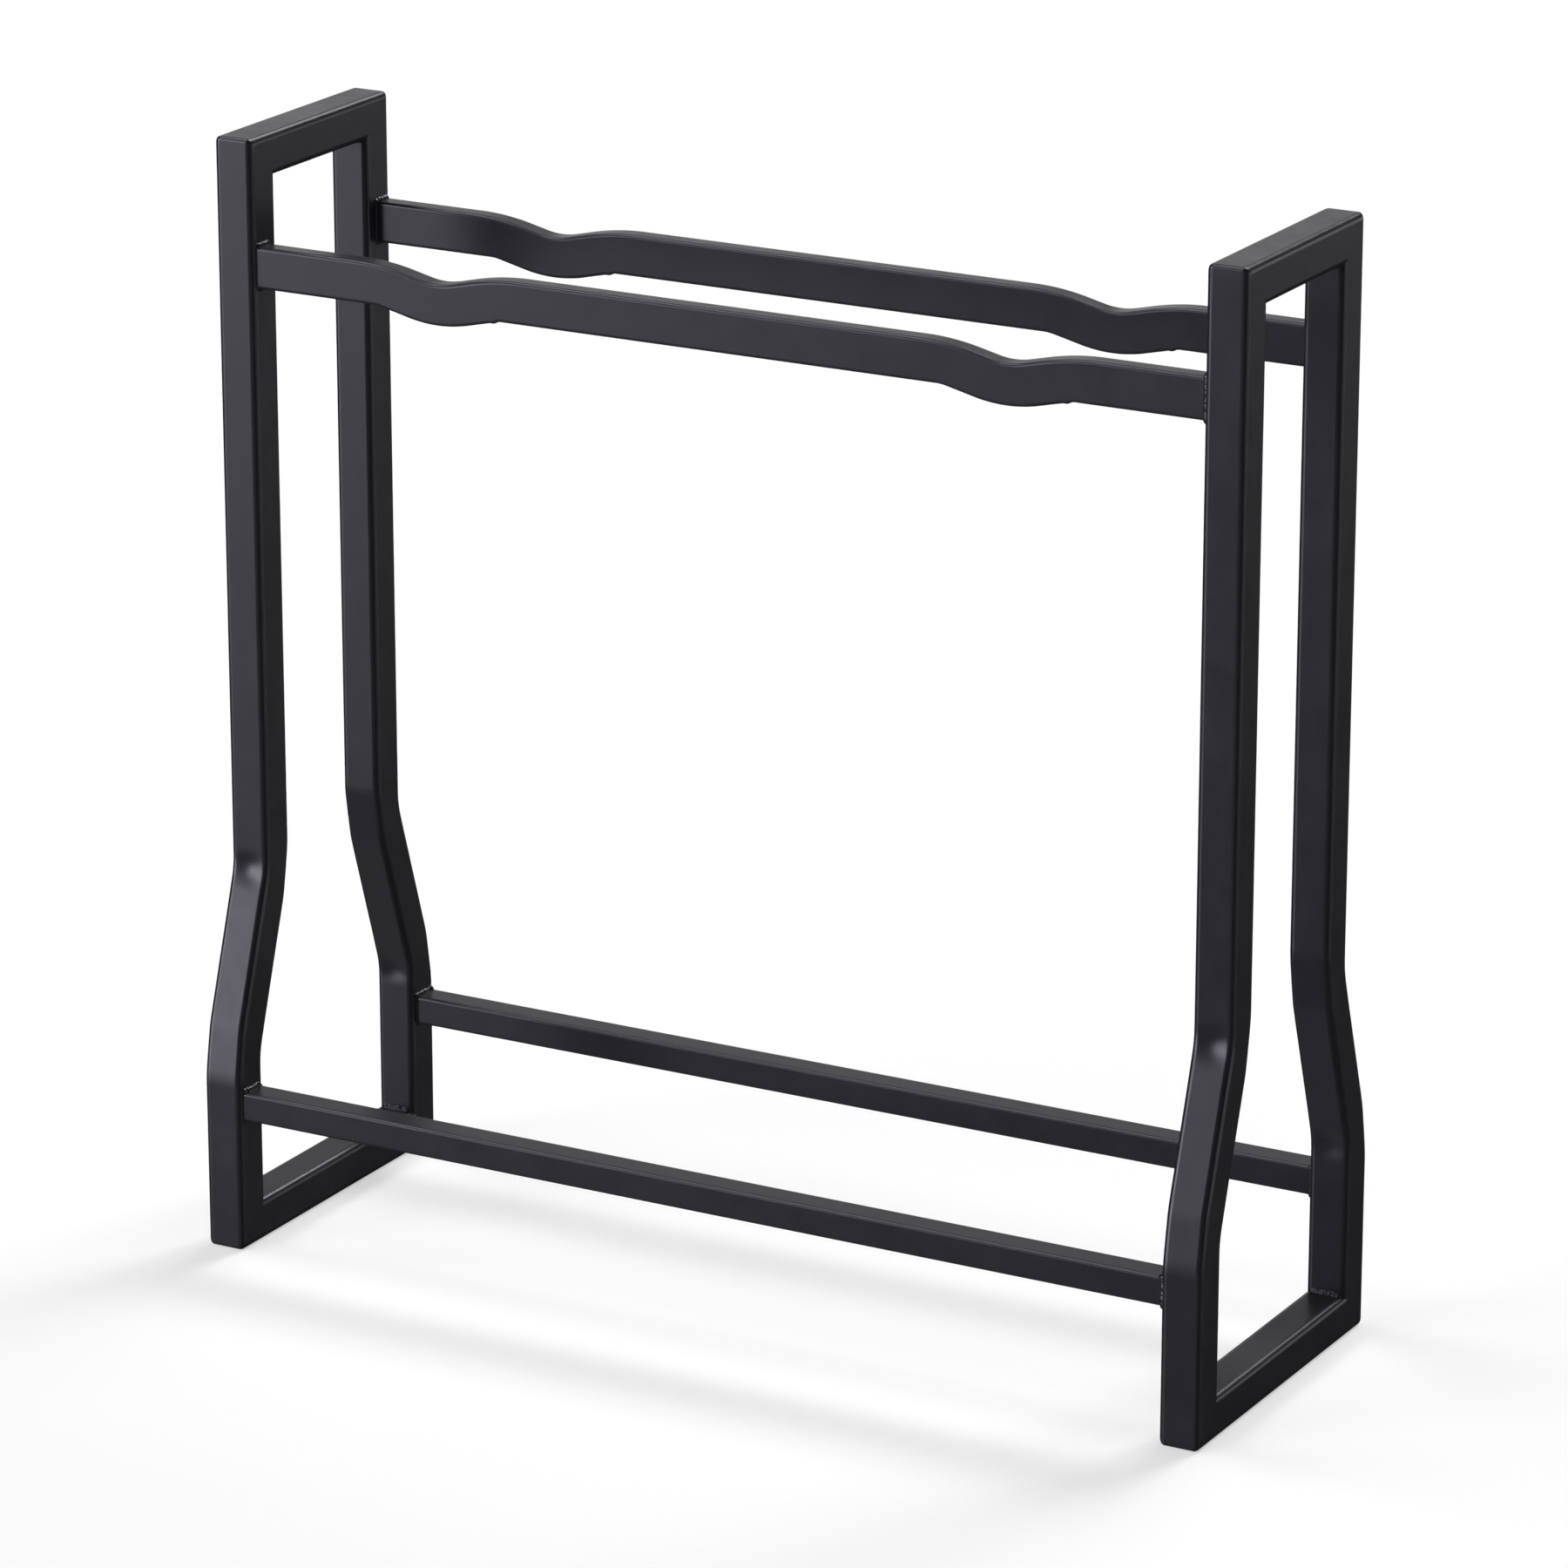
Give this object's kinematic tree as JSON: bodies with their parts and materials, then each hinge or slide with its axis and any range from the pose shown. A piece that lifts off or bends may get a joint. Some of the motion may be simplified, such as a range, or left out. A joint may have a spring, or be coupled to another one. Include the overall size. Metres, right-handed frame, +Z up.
{
  "type": "firewood log rack",
  "caption": "Free-standing firewood rack of welded square tube: narrow side loops that splay out at the foot, joined by dipped upper rails and plain lower rails.",
  "frame": {"origin": "on the floor, under the centre of the rack's outline", "axes": "+X to the viewer's right along the rails, +Y to the back, +Z up"},
  "size_m": [0.65, 0.218, 0.663],
  "materials": {
    "powder_coat": "satin black powder coat",
    "coated_weld": "satin black powder coat over a rippled weld bead"
  },
  "bodies": {
    "root": {"left_top_bar": "powder_coat", "left_foot_bar": "powder_coat", "left_front_upright": "powder_coat", "left_rear_upright": "powder_coat", "left_foot_front_corner_weld": "coated_weld", "left_foot_rear_corner_weld": "coated_weld", "left_top_rear_corner_weld": "coated_weld", "left_top_front_corner_weld": "coated_weld", "right_top_bar": "powder_coat", "right_foot_bar": "powder_coat", "right_front_upright": "powder_coat", "right_rear_upright": "powder_coat", "right_foot_front_corner_weld": "coated_weld", "right_foot_rear_corner_weld": "coated_weld", "right_top_rear_corner_weld": "coated_weld", "right_top_front_corner_weld": "coated_weld", "front_upper_rail": "powder_coat", "front_upper_rail_left_weld": "coated_weld", "front_upper_rail_right_weld": "coated_weld", "front_lower_rail": "powder_coat", "front_lower_rail_left_weld": "coated_weld", "front_lower_rail_right_weld": "coated_weld", "rear_upper_rail": "powder_coat", "rear_upper_rail_left_weld": "coated_weld", "rear_upper_rail_right_weld": "coated_weld", "rear_lower_rail": "powder_coat", "rear_lower_rail_left_weld": "coated_weld", "rear_lower_rail_right_weld": "coated_weld"}
  },
  "joints": []
}
